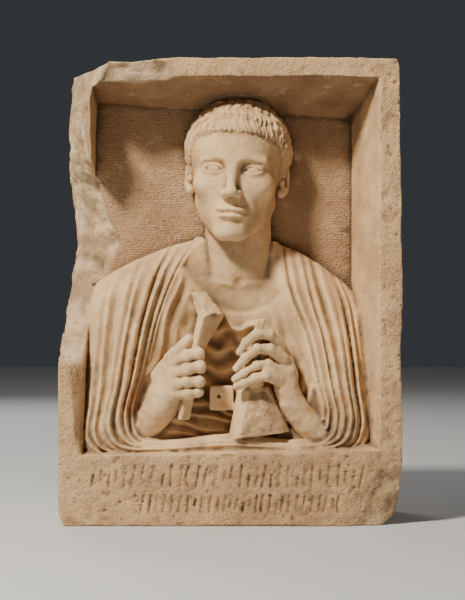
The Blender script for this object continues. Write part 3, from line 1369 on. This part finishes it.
class Wire:
    """A shader socket that adds, subtracts and multiplies like a number."""

    tree = None

    def __init__(self, socket):
        self.socket = socket

    @classmethod
    def node(cls, kind, settings=None, inputs=None, out=0):
        """One node of that kind. Settings come first, then the values or links of its sockets."""
        made = cls.tree.nodes.new(kind)
        for key, value in (settings or {}).items():
            setattr(made, key, value)
        for key, value in (inputs or {}).items():
            if isinstance(value, Wire):
                cls.tree.links.new(value.socket, made.inputs[key])
            else:
                made.inputs[key].default_value = value
        return cls(made.outputs[out]) if made.outputs else None

    def math(self, operation, other, flip=False, clamp=False):
        a, b = (other, self) if flip else (self, other)
        return Wire.node("ShaderNodeMath", {"operation": operation, "use_clamp": clamp}, {0: a, 1: b})

    def __add__(self, other):
        return self.math("ADD", other)

    def __radd__(self, other):
        return self.math("ADD", other)

    def __sub__(self, other):
        return self.math("SUBTRACT", other)

    def __rsub__(self, other):
        return self.math("SUBTRACT", other, flip=True)

    def __mul__(self, other):
        return self.math("MULTIPLY", other)

    def __rmul__(self, other):
        return self.math("MULTIPLY", other)

    def clamped(self):
        return self.math("ADD", 0.0, clamp=True)

    def step(self, start, end):
        """0 below start, 1 above end, eased between."""
        inputs = {"Value": self, "From Min": start, "From Max": end}
        return Wire.node("ShaderNodeMapRange", {"interpolation_type": "SMOOTHSTEP"}, inputs)


def tint(a, b, share):
    """Colour a turned to colour b by a share."""
    colour = lambda c: c if isinstance(c, Wire) else (*c, 1.0)
    return Wire.node("ShaderNodeMix", {"data_type": "RGBA"}, {0: share, 6: colour(a), 7: colour(b)}, out=2)


def srgb(r, g, b):
    linear = lambda c: c / 12.92 if c <= 0.04045 else ((c + 0.055) / 1.055) ** 2.4
    return tuple(linear(c / 255) for c in (r, g, b))


def noise(place, scale, detail=4.0, roughness=0.55):
    inputs = {"Vector": place, "Scale": scale, "Detail": detail, "Roughness": roughness}
    return Wire.node("ShaderNodeTexNoise", None, inputs)


def patch(place, centre, size):
    """1 at a centre, fading to 0 at a distance of size from it."""
    inputs = {0: place, 1: centre}
    away = Wire.node("ShaderNodeVectorMath", {"operation": "DISTANCE"}, inputs, out="Value")
    return 1.0 - away.step(size * 0.2, size)


def patches(place, middles, depth):
    """Every patch of a list, at one depth behind the front of the frame."""
    total = 0.0
    for x, z, size in middles:
        total = patch(place, (x, FRONT / 1000 + depth, z), size) + total
    return total.clamped()


def cells(place, scale):
    return Wire.node("ShaderNodeTexVoronoi", None, {"Vector": place, "Scale": scale, "Randomness": 1.0})


# Rust stains: x and z of the middle, and the radius, in metres.
STAINS = [
    (-0.172, 0.205, 0.03), (-0.165, 0.265, 0.02), (-0.19, 0.15, 0.016),
    (0.165, 0.305, 0.024), (0.19, 0.215, 0.022), (0.13, 0.19, 0.018), (0.135, 0.33, 0.014),
]

# Grey weathering low in the folds, in the same way.
WEATHERING = [
    (0.205, 0.165, 0.07), (0.165, 0.15, 0.05), (0.215, 0.24, 0.05), (-0.225, 0.17, 0.06),
    (-0.2, 0.145, 0.05), (-0.235, 0.25, 0.05), (0.02, 0.14, 0.05),
]
TOOTH_GAP = 0.0044  # from row to row of the tooth marks on the ground, in metres


def marble():
    material = bpy.data.materials.new("weathered_marble")
    material.use_nodes = True
    tree = material.node_tree
    tree.nodes.clear()
    Wire.tree = tree
    place = Wire.node("ShaderNodeTexCoord", out="Object")
    mask = lambda name: Wire.node("ShaderNodeAttribute", {"attribute_name": name}, out="Fac")
    struck, ground, browned = mask("struck"), mask("ground"), mask("browned")
    hollow, crest, figure = mask("hollow"), mask("crest"), mask("figure")
    plain = (1.0 - figure) * (1.0 - struck * 0.8)

    broad, middling, fine = noise(place, 5), noise(place, 19, 5, 0.6), noise(place, 95, 4, 0.65)
    cream, tan = srgb(230, 193, 142), srgb(182, 145, 102)
    colour = tint(cream, tan, (broad * 0.6 + middling * 0.6).step(0.4, 0.78))
    patina = noise(place, 11, 7, 0.72).step(0.5, 0.78)
    colour = tint(colour, srgb(112, 88, 62), patina * (0.42 + 0.22 * plain))
    # The frame and the band are browner than the figure; the ground and the soffit browner still.
    colour = tint(colour, srgb(186, 148, 108), plain * 0.45)
    colour = tint(colour, srgb(148, 115, 84), ground * (0.35 + 0.55 * middling))
    colour = tint(colour, srgb(112, 83, 58), browned * (0.45 + 0.5 * middling))
    # The breaks are greyer and cooler.
    grey = tint(srgb(202, 178, 146), srgb(140, 118, 92), middling.step(0.38, 0.62))
    colour = tint(colour, grey, struck * (0.4 + 0.5 * broad))
    # Rust stains and grey weathering on the mantle's folds.
    rust = patches(place, STAINS, 0.03) * noise(place, 70, 4, 0.6).step(0.4, 0.58)
    colour = tint(colour, srgb(206, 112, 52), rust * 0.7)
    weathered = patches(place, WEATHERING, 0.04) * noise(place, 45, 5, 0.65).step(0.38, 0.62)
    colour = tint(colour, srgb(104, 92, 74), weathered * 0.6)
    # Pale lime bloom and grey dust in patches.
    colour = tint(colour, srgb(240, 216, 182), noise(place, 40, 6, 0.7).step(0.56, 0.74) * 0.4)
    dust = noise(place, 62, 6, 0.75).step(0.57, 0.72)
    colour = tint(colour, srgb(120, 104, 88), dust * (0.2 + 0.45 * plain))
    # Rubbed crests on the figure, then dirt in the hollows and in scattered pores.
    colour = tint(colour, srgb(244, 218, 176), crest.step(0.1, 0.8) * figure * 0.45)
    colour = tint(colour, srgb(76, 57, 38), (hollow + 0.35 * fine * hollow).step(0.04, 0.6) * 0.85)
    spread = noise(place, 30, 4, 0.6) + 0.12 * plain
    pores = (1.0 - cells(place, 230.0).step(0.08, 0.3)) * spread.step(0.56, 0.72)
    colour = tint(colour, srgb(84, 60, 40), pores * (0.3 + 0.4 * plain))

    # The small relief, in mm: grit, tooth marks on the ground, pecking on the rough faces.
    grit, coarse = noise(place, 520, 4, 0.6), noise(place, 170, 5, 0.65)
    pecked = (1.0 - cells(place, 260.0).step(0.05, 0.55)) * (0.35 + 0.65 * coarse)
    z = Wire.node("ShaderNodeSeparateXYZ", None, {0: place}, out=2)
    wave = z * (2 * math.pi / TOOTH_GAP) + middling * 14.0 + fine * 5.0
    rows = Wire.node("ShaderNodeMath", {"operation": "SINE"}, {0: wave})
    height = grit * (0.35 + 0.25 * plain) + coarse * (1.1 + 1.5 * plain + 1.6 * struck)
    height = height + fine * (plain + struck) * 2.2 - pores * 1.1
    height = height - pecked * plain + rows * ground * coarse * 0.45 - pecked * ground * 0.9
    bump = Wire.node("ShaderNodeBump", None, {"Strength": 1.0, "Distance": 0.001, "Height": height})
    finish = {
        "Base Color": colour,
        "Roughness": 0.84 - figure * 0.14 * fine + pores * 0.08,
        "Specular IOR Level": 0.3,
        "Subsurface Weight": 0.03,
        "Subsurface Scale": 0.003,
        "Normal": bump,
    }
    shader = Wire.node("ShaderNodeBsdfPrincipled", None, finish)
    Wire.node("ShaderNodeOutputMaterial", None, {"Surface": shader})
    return material


# ---- the stele, the floor, the lamps and the camera ----------------------------------------------


def build_stele():
    stone = mark(worked(hew()))
    pick(stone)
    bpy.ops.object.shade_smooth()
    stone.data.materials.clear()
    stone.data.materials.append(marble())
    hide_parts("stele")
    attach(stone, "root")


FLOOR_WIDTH = 14.0
FLOOR_GAP = 0.0005  # the floor lies this far under the stone, in metres


def plain_floor():
    floor = added("floor", bpy.ops.mesh.primitive_plane_add, size=FLOOR_WIDTH, location=(0, 0, 0))
    set_corners(floor, corners(floor) + [0, 0, low[2] - FLOOR_GAP])
    material = bpy.data.materials.new("pale_floor")
    material.use_nodes = True
    shader = material.node_tree.nodes["Principled BSDF"]
    shader.inputs["Base Color"].default_value = (0.55, 0.55, 0.55, 1)
    shader.inputs["Roughness"].default_value = 0.8
    floor.data.materials.append(material)


def lamp(name, place, aim, size, power, colour):
    """A round soft light with its place and aim in metres and its power in watts."""
    data = bpy.data.lights.new(name, "AREA")
    data.shape = "DISK"
    data.size, data.energy, data.color = size, power, colour
    obj = bpy.data.objects.new(name, data)
    bpy.context.collection.objects.link(obj)
    obj.location = place
    obj.rotation_euler = (Vector(aim) - Vector(place)).to_track_quat("-Z", "Y").to_euler()


def studio():
    world = bpy.data.worlds.new("studio")
    bpy.context.scene.world = world
    world.use_nodes = True
    sky = world.node_tree.nodes["Background"].inputs
    sky["Color"].default_value = (0.48, 0.53, 0.6, 1)
    sky["Strength"].default_value = 0.075
    lamp("key", (-1.45, -1.9, 2.75), (0, 0, 0.42), 0.5, 205, (1.0, 0.94, 0.85))
    lamp("side", (3.0, 1.6, 1.5), (0, 0, 0.4), 1.5, 22, (1.0, 0.98, 0.95))
    lamp("behind", (-1.3, 3.0, 1.8), (0, 0, 0.4), 1.5, 38, (1.0, 0.98, 0.95))
    lamp("fill", (2.2, -2.4, 0.8), (0, 0, 0.38), 1.6, 3, (0.95, 0.97, 1.0))


CAMERA_AWAY = 3.0  # from the front of the frame, in metres
CAMERA_HEIGHT = 0.380
CAMERA_ASIDE = 0.0034


def camera():
    """A level view square to the front, from just under half the stone's height."""
    data = bpy.data.cameras.new("camera")
    data.lens, data.sensor_width, data.sensor_fit = 107.1, 36, "AUTO"
    obj = bpy.data.objects.new("camera", data)
    bpy.context.collection.objects.link(obj)
    obj.location = (CAMERA_ASIDE, FRONT / 1000 - CAMERA_AWAY, CAMERA_HEIGHT)
    obj.rotation_euler = (math.pi / 2, 0, 0)
    bpy.context.scene.camera = obj


camera()
build_stele()
plain_floor()
studio()
